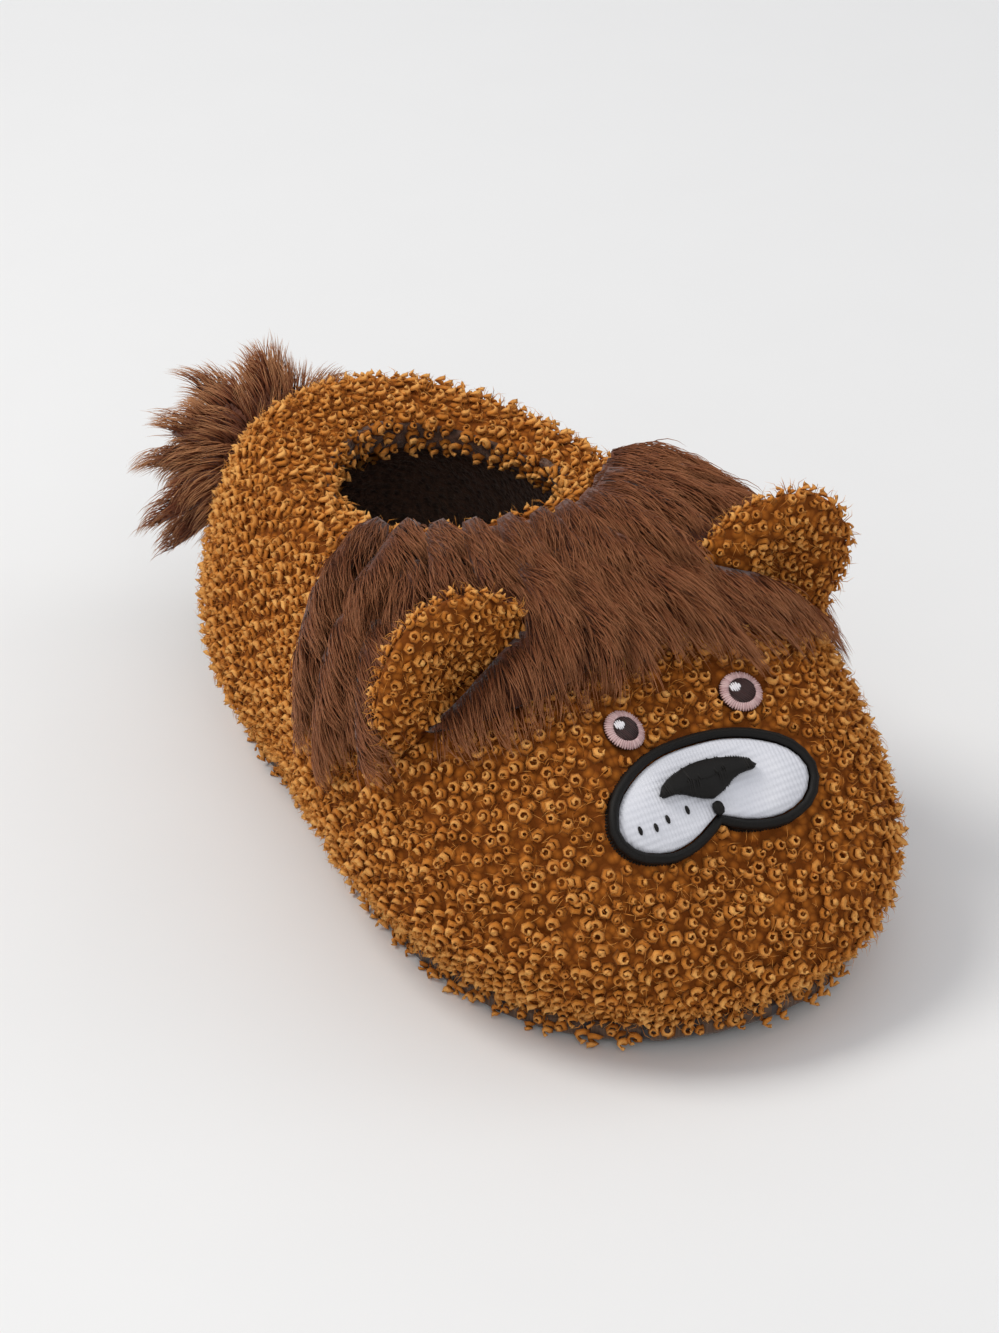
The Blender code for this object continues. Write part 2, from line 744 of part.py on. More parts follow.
teddy = finish("teddy_pile", (0.46, 0.17, 0.037), 0.9)
fur = finish("mane_fur", (0.13, 0.042, 0.014), 0.8)
sole_cloth = finish("sole_cloth", (0.10, 0.06, 0.04), 0.85)
lining = finish("lining_pile", (0.035, 0.018, 0.012), 0.9)
white_cloth = finish("muzzle_cloth", (0.66, 0.66, 0.70), 0.6)
black_thread = finish("black_thread", (0.014, 0.012, 0.011), 0.5)
eye_thread = finish("eye_thread", (0.10, 0.04, 0.03), 0.5)

add_sole_layer("outsole", OUTSOLE_MARGIN, 0, OUTSOLE_THICK, 0.0008, sole_cloth)
add_sole_layer("insole", -WALL - 0.0012, FEATHER_Z, INSOLE_THICK, 0.0012, lining)
slipper_upper = add_upper(teddy)
upper_form = add_upper_form()
add_ear("ear_inner", 1, upper_form, teddy)
add_ear("ear_outer", -1, upper_form, teddy)
add_mane(fur)
add_tail(upper_form, fur)
add_face(slipper_upper, white_cloth, black_thread, eye_thread)
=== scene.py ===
import math

import bmesh
import bpy
import numpy as np
from mathutils import Matrix, Vector, noise
from mathutils.bvhtree import BVHTree


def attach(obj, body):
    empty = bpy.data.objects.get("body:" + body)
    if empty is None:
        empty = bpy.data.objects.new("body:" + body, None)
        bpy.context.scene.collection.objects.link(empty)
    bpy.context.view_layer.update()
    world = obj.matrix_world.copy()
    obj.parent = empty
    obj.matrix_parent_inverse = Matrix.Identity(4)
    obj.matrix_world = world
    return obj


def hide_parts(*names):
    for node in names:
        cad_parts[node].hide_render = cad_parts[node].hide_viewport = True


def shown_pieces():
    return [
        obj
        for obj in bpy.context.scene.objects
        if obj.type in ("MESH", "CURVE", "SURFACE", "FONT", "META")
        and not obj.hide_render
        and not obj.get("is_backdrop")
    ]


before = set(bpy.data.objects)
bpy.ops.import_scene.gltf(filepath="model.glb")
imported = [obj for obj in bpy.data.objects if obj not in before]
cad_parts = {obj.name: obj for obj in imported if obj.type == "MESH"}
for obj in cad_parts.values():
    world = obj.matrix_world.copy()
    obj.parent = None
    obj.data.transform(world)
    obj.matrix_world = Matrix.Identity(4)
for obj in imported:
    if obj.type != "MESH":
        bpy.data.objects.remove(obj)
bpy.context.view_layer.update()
print("frame loaded:", len(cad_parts), "solids")

bpy.context.scene.view_settings.view_transform = "Standard"


# Small tools


class Shade:  # a node's output, so that shader maths reads as plain expressions
    def __init__(self, finish, socket):
        self.finish, self.socket = finish, socket

    def maths(self, operation, first, second):
        return self.finish.node("ShaderNodeMath", {"operation": operation}, {0: first, 1: second})

    def __add__(self, other):
        return self.maths("ADD", self, other)

    def __radd__(self, other):
        return self.maths("ADD", other, self)

    def __sub__(self, other):
        return self.maths("SUBTRACT", self, other)

    def __rsub__(self, other):
        return self.maths("SUBTRACT", other, self)

    def __mul__(self, other):
        return self.maths("MULTIPLY", self, other)

    def __pow__(self, other):
        return self.maths("POWER", self, other)

    def wave(self):
        return self.maths("SINE", self, 0)


class Finish:  # one material and the nodes that make it
    def __init__(self, name):
        self.material = bpy.data.materials.new(name)
        self.material.use_nodes = True
        self.tree = self.material.node_tree
        self.tree.nodes.clear()
        self.place = self.node("ShaderNodeTexCoord", out="Object")

    def node(self, kind, settings=None, sockets=None, out=0):
        made = self.tree.nodes.new(kind)
        for key, value in (settings or {}).items():
            if key == "stops":
                ramp = made.color_ramp
                ramp.elements.remove(ramp.elements[1])
                ramp.elements[0].position, ramp.elements[0].color = value[0][0], (*value[0][1], 1)
                for where, colour in value[1:]:
                    ramp.elements.new(where).color = (*colour, 1)
            else:
                setattr(made, key, value)
        for key, value in (sockets or {}).items():
            if isinstance(value, Shade):
                self.tree.links.new(value.socket, made.inputs[key])
            elif value is not None:
                made.inputs[key].default_value = value
        return Shade(self, made.outputs[out])

    def clouds(self, scale, detail=2.0):
        sockets = {"Vector": self.place, "Scale": scale, "Detail": detail}
        return self.node("ShaderNodeTexNoise", None, sockets, "Fac")

    def cells(self, scale):
        sockets = {"Vector": self.place, "Scale": scale}
        return self.node("ShaderNodeTexVoronoi", None, sockets, "Distance")

    def value(self, name):
        return self.node("ShaderNodeAttribute", {"attribute_name": name}, None, "Fac")

    def mix(self, share, first, second):  # 6 and 7 are a colour mix's inputs, 2 is its output
        first = first if isinstance(first, Shade) else (*first, 1)
        second = second if isinstance(second, Shade) else (*second, 1)
        return self.node("ShaderNodeMix", {"data_type": "RGBA"}, {0: share, 6: first, 7: second}, 2)

    def ramp(self, share, *stops):
        return self.node("ShaderNodeValToRGB", {"stops": stops}, {"Fac": share}, "Color")

    def part(self, axis, place=None):
        return self.node("ShaderNodeSeparateXYZ", None, {0: place or self.place}, axis)

    def turned(self, rotation):
        sockets = {"Vector": self.place, "Rotation": rotation}
        return self.node("ShaderNodeMapping", {"vector_type": "TEXTURE"}, sockets)

    def done(self, colour, roughness, height=None, strength=0.5, depth=0.001, **fixed):
        sockets = {"Base Color": colour if isinstance(colour, Shade) else (*colour, 1)}
        sockets["Roughness"] = roughness
        if height is not None:
            sockets["Normal"] = self.node(
                "ShaderNodeBump", None, {"Strength": strength, "Distance": depth, "Height": height}
            )
        sockets.update({key.replace("_", " "): value for key, value in fixed.items()})
        shader = self.node("ShaderNodeBsdfPrincipled", None, sockets)
        output = self.tree.nodes.new("ShaderNodeOutputMaterial")
        self.tree.links.new(shader.socket, output.inputs["Surface"])
        return self.material


def copyOfNode(name):  # a CAD solid's mesh, its loose triangles merged
    bm = bmesh.new()
    bm.from_mesh(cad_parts[name].data)
    bmesh.ops.remove_doubles(bm, verts=bm.verts, dist=1e-6)
    bm.normal_update()
    return bm


def addPiece(name, bm, material, stands=(), smooth=True):
    mesh = bpy.data.meshes.new(name)
    for face in bm.faces:
        face.smooth = smooth
    bm.to_mesh(mesh)
    bm.free()
    return placePiece(name, mesh, material, stands)


def placePiece(name, mesh, material, stands=()):  # stands: the solids it replaces
    mesh.materials.append(material)
    piece = bpy.data.objects.new(name, mesh)
    bpy.context.scene.collection.objects.link(piece)
    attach(piece, "root")
    if stands:
        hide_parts(*stands)
    return piece


def addWall(piece, thickness):  # the surface gets a thickness, inward from its face
    wall = piece.modifiers.new("wall", "SOLIDIFY")
    wall.thickness, wall.offset = thickness, -1


def unit(rows):
    return rows / np.maximum(np.linalg.norm(rows, axis=-1, keepdims=True), 1e-12)


def template(bm):  # a small shape as arrays, to be repeated
    bmesh.ops.triangulate(bm, faces=bm.faces)
    bm.verts.index_update()
    places = np.array([v.co[:] for v in bm.verts])
    faces = np.array([[v.index for v in f.verts] for f in bm.faces])
    bm.free()
    return places, faces


def joined(name, places, faces, values):
    # places is (copies, points, 3); one mesh holds all the copies
    copies, points = places.shape[:2]
    allFaces = (faces[None] + (np.arange(copies) * points)[:, None, None]).reshape(-1, 3)
    mesh = bpy.data.meshes.new(name)
    mesh.vertices.add(copies * points)
    mesh.vertices.foreach_set("co", places.astype(np.float32).ravel())
    mesh.loops.add(allFaces.size)
    mesh.loops.foreach_set("vertex_index", allFaces.astype(np.int32).ravel())
    mesh.polygons.add(len(allFaces))
    mesh.polygons.foreach_set("loop_start", np.arange(0, allFaces.size, 3, dtype=np.int32))
    mesh.polygons.foreach_set("use_smooth", np.ones(len(allFaces), bool))
    mesh.update(calc_edges=True)
    for key, numbers in values.items():
        numbers = np.broadcast_to(numbers, (copies, points))
        attribute = mesh.attributes.new(key, "FLOAT", "POINT")
        attribute.data.foreach_set("value", numbers.astype(np.float32).ravel())
    return mesh


def trianglesOf(bm, want=lambda face: True):
    bmesh.ops.triangulate(bm, faces=bm.faces)
    bm.normal_update()
    faces = [f for f in bm.faces if want(f)]
    corners = np.array([[v.co[:] for v in f.verts] for f in faces])
    ups = np.array([[v.normal[:] for v in f.verts] for f in faces])
    return corners, ups


triesPerCell = 5  # random points tried for each square of a spacing's side


def scatter(corners, ups, rng, count=0, spacing=0.0):
    # count random points spread by area or, where a spacing is given, as many as it leaves room for
    sides = np.cross(corners[:, 1] - corners[:, 0], corners[:, 2] - corners[:, 0])
    area = np.linalg.norm(sides, axis=1) / 2
    if spacing:
        count = int(area.sum() / spacing**2 * triesPerCell)
    pick = rng.choice(len(corners), count, p=area / area.sum())
    a, b = np.sqrt(rng.random(count)), rng.random(count)
    share = np.stack([1 - a, a * (1 - b), a * b], 1)[:, :, None]
    points, normals = (share * corners[pick]).sum(1), unit((share * ups[pick]).sum(1))
    if not spacing:
        return points, normals
    grid, kept = {}, []
    cells = np.floor(points / spacing).astype(int)
    for i in range(count):
        x, y, z = cells[i]
        near = [
            j
            for dx in (-1, 0, 1)
            for dy in (-1, 0, 1)
            for dz in (-1, 0, 1)
            for j in grid.get((x + dx, y + dy, z + dz), ())
        ]
        if near and (((points[near] - points[i]) ** 2).sum(1) < spacing**2).any():
            continue
        grid.setdefault((x, y, z), []).append(i)
        kept.append(i)
    return points[kept], normals[kept]


def distances(tree, points):
    return np.array([tree.find_nearest(Vector(p))[3] for p in points])


# Camera, light and floor

studio = {
    "eye": (-0.4015, -0.6182, 0.4629),
    "aim": (-0.0035, 0.0035, 0.0330),
    "lens": 128,
    "sensor": 36,
    "clips": (0.01, 20),
    "lampAim": (0, 0, 0.03),
    "floorColour": (0.80, 0.80, 0.79),
    "floorGrain": 1.02,
    "floorRoughness": 0.55,
    "floorHalf": 6,
    "worldColour": (0.93, 0.95, 1.0),
    "worldStrength": 0.62,
    "lamps": [  # place, size, watts, colour
        ((-0.55, 0.45, 1.05), 0.60, 8.0, (1.0, 0.97, 0.93)),
        ((-0.55, -0.95, 0.75), 0.9, 2.6, (1.0, 0.98, 0.95)),
        ((0.9, -0.2, 0.8), 0.8, 1.2, (1.0, 0.98, 0.96)),
    ],
}

eye = bpy.data.cameras.new("camera")
eye.sensor_width, eye.lens = studio["sensor"], studio["lens"]
eye.clip_start, eye.clip_end = studio["clips"]
camera = bpy.data.objects.new("camera", eye)
bpy.context.scene.collection.objects.link(camera)
camera.location = studio["eye"]
camera.rotation_mode = "QUATERNION"
look = Vector(studio["aim"]) - Vector(studio["eye"])
camera.rotation_quaternion = look.to_track_quat("-Z", "Y")
bpy.context.scene.camera = camera

for number, (place, size, watts, colour) in enumerate(studio["lamps"], 1):
    light = bpy.data.lights.new(f"softbox{number}", "AREA")
    light.shape, light.size, light.energy, light.color = "DISK", size, watts, colour
    lamp = bpy.data.objects.new(f"softbox{number}", light)
    bpy.context.scene.collection.objects.link(lamp)
    lamp.location = place
    lamp.rotation_mode = "QUATERNION"
    lampLook = Vector(studio["lampAim"]) - Vector(place)
    lamp.rotation_quaternion = lampLook.to_track_quat("-Z", "Y")

world = bpy.data.worlds.new("studio")
world.use_nodes = True
world.node_tree.nodes["Background"].inputs["Color"].default_value = (*studio["worldColour"], 1)
world.node_tree.nodes["Background"].inputs["Strength"].default_value = studio["worldStrength"]
bpy.context.scene.world = world

floorFinish = Finish("paleFloor")
grain = floorFinish.clouds(40, 3)
brighter = [c * studio["floorGrain"] for c in studio["floorColour"]]
bm = bmesh.new()
bmesh.ops.create_grid(bm, x_segments=1, y_segments=1, size=studio["floorHalf"])
floorMesh = bpy.data.meshes.new("floor")
bm.to_mesh(floorMesh)
bm.free()
floorColour = floorFinish.mix(grain, studio["floorColour"], brighter)
floorMesh.materials.append(floorFinish.done(floorColour, studio["floorRoughness"]))
floor = bpy.data.objects.new("floor", floorMesh)
bpy.context.scene.collection.objects.link(floor)
floor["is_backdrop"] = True
print("camera, light and floor set")


# Materials

teddyColours = {
    # root: painted shade between the curls
    "root": (0.17, 0.045, 0.006),
    "middle": (0.66, 0.235, 0.034),
    "tip": (1.00, 0.520, 0.150),
    "deep": (0.48, 0.150, 0.020),
}


def teddyCurl():  # curls: dark at the root as painted shade between the curls, bright at the tip, each a little different
    finish = Finish("teddyCurl")
    along, tone = finish.value("along"), finish.value("tone")
    body = finish.ramp(
        along,
        (0.0, teddyColours["root"]),
        (0.42, teddyColours["middle"]),
        (1.0, teddyColours["tip"]),
    )
    patches = finish.clouds(45, 2)
    colour = finish.mix((tone * 0.45 + patches * 0.35) ** 1.4, body, teddyColours["deep"])
    fibres = finish.clouds(6500, 2) + finish.clouds(2600, 2) * 0.6
    return finish.done(
        colour, 0.88, fibres, 0.6, 0.0003, Sheen_Weight=0.15, Sheen_Roughness=0.5,
        Sheen_Tint=(1.0, 0.55, 0.22, 1), Specular_IOR_Level=0.12,
    )


def teddyGround():  # the knitted ground under the curls, coloured dark as painted shade between the curls
    finish = Finish("teddyGround")
    lumps = finish.cells(520)
    colour = finish.ramp(
        lumps + finish.clouds(300, 3) * 0.4 - 0.2,
        (0.10, teddyColours["deep"]),
        (0.60, teddyColours["root"]),
    )
    return finish.done(colour, 0.95, 1 - lumps, 0.9, 0.001, Specular_IOR_Level=0.08)


def longFur(name, root, middle, tip):  # long hair, dark at the root
    finish = Finish(name)
    along, tone = finish.value("along"), finish.value("tone")
    body = finish.ramp(along, (0.0, root), (0.45, middle), (1.0, tip))
    lighter = finish.ramp(along, (0.0, middle), (0.6, tip), (1.0, [c * 1.25 for c in tip]))
    patches = finish.clouds(60, 2)
    colour = finish.mix((tone * 0.75 + patches * 0.25) ** 2.2, body, lighter)
    return finish.done(
        colour, 0.55, finish.clouds(3000, 1), 0.2, 0.0002, Sheen_Weight=0.08,
        Sheen_Roughness=0.5, Sheen_Tint=(1.0, 0.60, 0.40, 1), Specular_IOR_Level=0.22,
    )


def furGround(name, root, middle):  # what shows between the hairs
    finish = Finish(name)
    streaks = finish.clouds(700, 3)
    return finish.done(
        finish.mix(streaks, root, middle), 0.9, streaks, 0.8, 0.001, Sheen_Weight=0.2
    )


def darkLining():
    finish = Finish("darkLining")
    nap = finish.clouds(900, 3) + finish.cells(700) * 0.7
    colour = finish.ramp(
        nap, (0.3, (0.016, 0.008, 0.006)), (0.62, (0.050, 0.024, 0.015)), (1.0, (0.13, 0.065, 0.04))
    )
    return finish.done(
        colour, 0.93, nap, 0.9, 0.0012, Sheen_Weight=0.3, Sheen_Tint=(0.8, 0.6, 0.5, 1)
    )


gripDotPitch = 0.0052


def soleCloth():  # woven cloth with small dots that grip the floor
    finish = Finish("soleCloth")
    dotted = finish.turned((0, 0, math.radians(45)))
    x, y = finish.part("X", dotted), finish.part("Y", dotted)
    turnsPerMetre = 2 * math.pi / gripDotPitch
    dots = (x * turnsPerMetre).wave() * (y * turnsPerMetre).wave()
    dots = finish.ramp(dots, (0.42, (0, 0, 0)), (0.50, (1, 1, 1)))
    weave = (finish.part("X") * 7000).wave() * (finish.part("Y") * 7000).wave()
    weave = weave * 0.25 + finish.clouds(500, 3)
    cloth = finish.mix(weave, (0.055, 0.030, 0.018), (0.16, 0.095, 0.06))
    colour = finish.mix(dots, cloth, (0.035, 0.028, 0.026))
    return finish.done(
        colour, 0.9 - dots * 0.4, weave * (1 - dots) + dots * 1.6, 0.6, 0.0004, Sheen_Weight=0.1
    )


def satinWhite():
    finish = Finish("satinWhite")
    tilted = finish.turned((math.radians(45), 0, 0))
    x, y = finish.part("X", tilted), finish.part("Y", tilted)
    weave = (x * 9000).wave() * 0.5 + (y * 5200).wave() * 0.5
    soft = finish.clouds(120, 3)
    colour = finish.mix(soft, (0.60, 0.61, 0.67), (0.80, 0.80, 0.83))
    return finish.done(
        colour, 0.42 + soft * 0.15, weave * 0.6 + soft * 2.0, 0.35, 0.0003,
        Sheen_Weight=0.15, Specular_IOR_Level=0.5,
    )


def satinThread(name, low, high, roughness=0.38, shine=0.4):
    finish = Finish(name)
    tone = finish.value("tone")
    fibres = finish.clouds(5200, 2)
    colour = finish.mix(tone * 0.5 + fibres * 0.5, low, high)
    return finish.done(
        colour, roughness + fibres * 0.15, fibres, 0.3, 0.0002, Specular_IOR_Level=shine
    )


furColours = {
    "root": (0.050, 0.010, 0.003),
    "middle": (0.190, 0.052, 0.014),
    "tip": (0.400, 0.165, 0.070),
    "tailMiddle": (0.160, 0.034, 0.009),
    "tailTip": (0.560, 0.270, 0.115),
}
teddyFinish, groundFinish = teddyCurl(), teddyGround()
maneFinish = longFur("maneHair", furColours["root"], furColours["middle"], furColours["tip"])
tailFinish = longFur(
    "tailHair", furColours["root"], furColours["tailMiddle"], furColours["tailTip"]
)
underFinish = furGround("furGround", furColours["root"], furColours["middle"])
liningFinish, soleFinish, whiteFinish = darkLining(), soleCloth(), satinWhite()
blackFinish = satinThread("blackThread", (0.004, 0.0035, 0.003), (0.017, 0.015, 0.013), 0.5, 0.2)
print("materials made")


# The body: lining, ground cloth and sole

trees = {}
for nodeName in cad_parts:
    bm = copyOfNode(nodeName)
    trees[nodeName] = BVHTree.FromBMesh(bm)
    bm.free()


body = {
    "liningCuts": 2,
    "liningLump": 0.00045,
    "liningGrain": 420,
    "insoleGrain": 380,
    "wall": 0.0012,
    "skin": 0.0001,
    "farWall": 0.25,
}


def facesInside(face):  # an inner face looks at the far wall of the shoe
    start = face.calc_center_median() + face.normal * body["skin"]
    hit = trees["upper"].ray_cast(start, face.normal, body["farWall"])
    return hit[0] is not None


def pileFace(face):  # the outside of the upper, without what faces the floor
    return not facesInside(face) and face.normal.z > -0.75


bm = copyOfNode("upper")
inside = [f for f in bm.faces if facesInside(f)]
bmesh.ops.delete(bm, geom=inside, context="FACES")
addWall(addPiece("teddyShell", bm, groundFinish, ["upper"]), body["wall"])

bm = copyOfNode("upper")
outside = [f for f in bm.faces if not facesInside(f)]
bmesh.ops.delete(bm, geom=outside, context="FACES")
bmesh.ops.subdivide_edges(bm, edges=bm.edges, cuts=body["liningCuts"], use_grid_fill=True)
bm.normal_update()
edge = {v for e in bm.edges if e.is_boundary for v in e.verts}
for v in bm.verts:
    if v not in edge:
        v.co += v.normal * body["liningLump"] * noise.noise(v.co * body["liningGrain"])
addWall(addPiece("innerLining", bm, liningFinish), body["wall"])

bm = copyOfNode("insole")
bmesh.ops.subdivide_edges(bm, edges=bm.edges, cuts=body["liningCuts"], use_grid_fill=True)
bm.normal_update()
for v in bm.verts:
    if v.normal.z > 0.5:  # only the top: its nap is mostly pressed down
        v.co.z += body["liningLump"] * (noise.noise(v.co * body["insoleGrain"]) - 0.4)
addPiece("insolePile", bm, liningFinish, ["insole"])

soleCopy = copyOfNode("outsole")
addPiece("soleCloth", soleCopy, soleFinish, ["outsole"], smooth=False)
print("lining, ground cloth and sole made")


# The curls of the pile

curl = {
    "spacing": 0.00200,
    "tube": 0.00046,
    "coil": 0.00098,
    "steps": 10,
    "rise": 0.0021,
    "closing": 0.62,
    "closingPower": 1.5,
    "turns": (1.45, 1.7, 1.95),
    "sizes": (0.82, 1.25),
    "lean": 0.21,
    "droop": 0.10,
    "sink": 0.0003,
    "floorGap": 0.00015,
    "batch": 3000,
    "earSize": 0.85,
    "earSink": 0.0006,
    "rimDepth": 0.0090,
    "rimRagged": 0.0008,
    "rimAlong": (-0.002, 0.0245, 0.051),
    "rimHeight": (0.066, 0.058, 0.060),
    "sideFrom": -0.030,
    "heelFrom": 0.035,
}
curlRoom = {  # how far the curls stay from what lies on the pile
    "muzzle_patch": 0.0012,
    "muzzle_border": 0.0012,
    "eye_inner": 0.0010,
    "eye_outer": 0.0010,
    "mane": 0.0009,
    "ear_inner": 0.0002,
    "ear_outer": 0.0002,
}


def curlShape(turns):
    bm = bmesh.new()
    ring = bmesh.ops.create_circle(bm, cap_ends=True, segments=3, radius=curl["tube"])["verts"]
    bmesh.ops.rotate(bm, verts=ring, cent=(0, 0, 0), matrix=Matrix.Rotation(math.pi / 2, 3, "X"))
    bmesh.ops.translate(bm, verts=ring, vec=(curl["coil"], 0, 0))
    bmesh.ops.spin(
        bm, geom=bm.verts[:] + bm.edges[:] + bm.faces[:], cent=(0, 0, 0), axis=(0, 0, 1),
        dvec=(0, 0, curl["rise"] / curl["steps"]), angle=turns * 2 * math.pi,
        steps=curl["steps"], use_merge=False, use_duplicate=False,
    )
    bmesh.ops.holes_fill(bm, edges=bm.edges, sides=0)
    bmesh.ops.recalc_face_normals(bm, faces=bm.faces)
    for v in bm.verts:  # the coil closes in towards its top
        share = min(max(v.co.z / curl["rise"], 0), 1)
        width = 1 - curl["closing"] * share ** curl["closingPower"]
        v.co.x *= width
        v.co.y *= width
    return template(bm)


curlShapes = [curlShape(t) for t in curl["turns"]]


def growCurls(points, normals, size, rng):
    # each point gets one curl, turned at random and leaning a little; long lists are split
    sets = []
    for start in range(0, len(points), curl["batch"]):
        rows = slice(start, start + curl["batch"])
        p, n = points[rows], normals[rows]
        count = len(p)
        tilt = unit(n + rng.normal(0, curl["lean"], (count, 3)) - np.array([0, 0, curl["droop"]]))
        side = unit(np.cross(tilt, rng.normal(0, 1, (count, 3))))
        turn = np.stack([side, np.cross(tilt, side), tilt], 2)
        scale = size * rng.uniform(*curl["sizes"], count)
        shape = rng.integers(0, len(curlShapes), count)
        for number, (places, faces) in enumerate(curlShapes):
            mine = shape == number
            foot, up = p[mine][:, None, :], n[mine][:, None, :]
            coils = np.einsum("cij,pj->cpi", turn[mine], places) * scale[mine, None, None]
            coils = coils + foot - up * curl["sink"]
            coils[:, :, 2] = np.maximum(coils[:, :, 2], curl["floorGap"])
            height = ((coils - foot) * up).sum(2) / (curl["rise"] * size)
            sets.append((coils, faces, np.clip(height, 0, 1), rng.random(mine.sum())))
    return sets


def joinSets(name, sets, material):
    # each set repeats one shape, and the piece joins them all
    objects = []
    for number, (places, faces, along, tone) in enumerate(sets):
        mesh = joined(f"{name}{number}", places, faces, {"along": along, "tone": tone[:, None]})
        thing = bpy.data.objects.new(mesh.name, mesh)
        bpy.context.scene.collection.objects.link(thing)
        objects.append(thing)
    with bpy.context.temp_override(
        active_object=objects[0], selected_objects=objects, selected_editable_objects=objects
    ):
        bpy.ops.object.join()
    piece = objects[0]
    piece.name = piece.data.name = name
    piece.data.materials.append(material)
    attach(piece, "root")


rng = np.random.default_rng(7)
bm = copyOfNode("upper")
corners, ups = trianglesOf(bm, pileFace)
points, normals = scatter(corners, ups, rng, spacing=curl["spacing"])
corners, ups = trianglesOf(bm, lambda f: facesInside(f) and abs(f.normal.z) < 0.7)
bm.free()
rimPoints, rimNormals = scatter(corners, ups, rng, spacing=curl["spacing"])
rimBottom = np.interp(rimPoints[:, 1], curl["rimAlong"], curl["rimHeight"]) - curl["rimDepth"]
nearRim = rimPoints[:, 2] > rimBottom + rng.normal(0, curl["rimRagged"], len(rimPoints))
bm = copyOfNode("outsole")  # the pile hangs over the edge of the sole
corners, ups = trianglesOf(bm, lambda f: abs(f.normal.z) < 0.6)
bm.free()
edgePoints, edgeNormals = scatter(corners, ups, rng, spacing=curl["spacing"])
points = np.vstack([points, rimPoints[nearRim], edgePoints])
normals = np.vstack([normals, rimNormals[nearRim], edgeNormals])
clear = np.ones(len(points), bool)
for nodeName, room in curlRoom.items():
    clear &= distances(trees[nodeName], points) > room
points, normals = points[clear], normals[clear]
toe, heel = points[:, 1] < curl["sideFrom"], points[:, 1] >= curl["heelFrom"]
for name, mine in (("curlsToe", toe), ("curlsSides", ~toe & ~heel), ("curlsHeel", heel)):
    sets = growCurls(points[mine], normals[mine], 1.0, rng)
    joinSets(name, sets, teddyFinish)
print("curls grown:", len(points))


# Ears

for side in ("inner", "outer"):
    bm = copyOfNode(f"ear_{side}")
    corners, ups = trianglesOf(bm)
    bmesh.ops.subdivide_edges(bm, edges=bm.edges, cuts=1, use_grid_fill=True)
    pad = addPiece(f"earPad_{side}", bm, groundFinish, [f"ear_{side}"])
    points, normals = scatter(corners, ups, rng, spacing=curl["spacing"] * curl["earSize"])
    outsideBody = distances(trees["upper"], points) > curl["earSink"]
    points, normals = points[outsideBody], normals[outsideBody]
    sets = growCurls(points, normals, curl["earSize"], rng)
    joinSets(f"earCurls_{side}", sets, teddyFinish)
print("ears made")


# Mane and tail


def strandShape(segments):
    bm = bmesh.new()
    bmesh.ops.create_cone(
        bm, cap_ends=True, segments=3, radius1=1, radius2=0, depth=1,
        matrix=Matrix.Translation((0, 0, 0.5)),
    )
    bmesh.ops.remove_doubles(bm, verts=bm.verts, dist=1e-5)
    for i in range(1, segments):
        bmesh.ops.bisect_plane(
            bm, geom=bm.verts[:] + bm.edges[:] + bm.faces[:], dist=1e-6,
            plane_co=(0, 0, i / segments), plane_no=(0, 0, 1),
        )
    for v in bm.verts:  # nearly even for most of its length, then a fine point
        share = v.co.z
        if share < 0.999:
            grow = (1 - share**2.5) / (1 - share)
            v.co.x *= grow
            v.co.y *= grow
    return template(bm)


strand = strandShape(4)
shortStrand = strandShape(2)
hair = {
    "radius": (0.00007, 0.00012),
    "notAlong": (0.31, 0.22, 0.93),
    "floorGap": 0.0002,
    "middleRoom": 0.0012,
    "tipRoom": 0.0010,
    "pulls": (0.5, 1.2),
}


def growStrands(name, roots, middles, tips, radius, tone, material, shape=strand):
    # bends the straight template along each hair's own curve
    places, faces = shape
    s = places[:, 2][None, :, None]
    r, m, t = roots[:, None], middles[:, None], tips[:, None]
    line = (1 - s) ** 2 * r + 2 * s * (1 - s) * m + s**2 * t
    tangent = unit(2 * (1 - s) * (m - r) + 2 * s * (t - m))
    side = unit(np.cross(tangent, np.array(hair["notAlong"])))
    other = np.cross(side, tangent)
    wide = radius[:, None, None]
    made = line + wide * (places[:, 0][None, :, None] * side + places[:, 1][None, :, None] * other)
    made[:, :, 2] = np.maximum(made[:, :, 2], hair["floorGap"])
    mesh = joined(name, made, faces, {"along": places[:, 2][None], "tone": tone[:, None]})
    placePiece(name, mesh, material)


def clumped(points, tips, share, pull, rng):
    # a share of the hairs lead a lock each, and the hairs nearest to them lean their way
    chosen = rng.choice(len(points), int(len(points) * share), replace=False)
    kd = BVHTree.FromPolygons(
        [tuple(points[i] + d) for i in chosen for d in ((0, 0, 0), (1e-6, 0, 0), (0, 1e-6, 0))],
        [(3 * k, 3 * k + 1, 3 * k + 2) for k in range(len(chosen))],
    )
    owner = np.array([chosen[kd.find_nearest(Vector(p))[2]] for p in points])
    return tips + (tips[owner] - tips) * pull, owner


def outOfBody(points, room):
    # a hair that dips into the body lies on it instead
    moved = points.copy()
    for i, p in enumerate(points):
        place, normal, _, _ = trees["upper"].find_nearest(Vector(p))
        if (Vector(p) - place).dot(normal) < room:
            moved[i] = place + normal * room
    return moved


mane = {
    "hairs": 9000,
    "spare": 1.6,
    "bodyGap": 0.004,
    "centre": (-0.0015, 0.0550),
    "locks": 0.045,
    "pull": 0.5,
    "swirlScale": 75,
    "swirl": 0.55,
    "spread": 0.12,
    "arch": 0.30,
    "tipLift": 0.8,
    "droop": 0.12,
    "wildShare": 0.06,
    "wildLift": 0.4,
    "earRoom": 0.0011,
    "lockTone": 0.6,
}


def clearOfEars(*lines):
    # hairs that would cross an ear are left out
    keep = np.ones(len(lines[0]), bool)
    for row in lines:
        for ear in ("ear_inner", "ear_outer"):
            keep &= distances(trees[ear], row) > mane["earRoom"]
    return keep


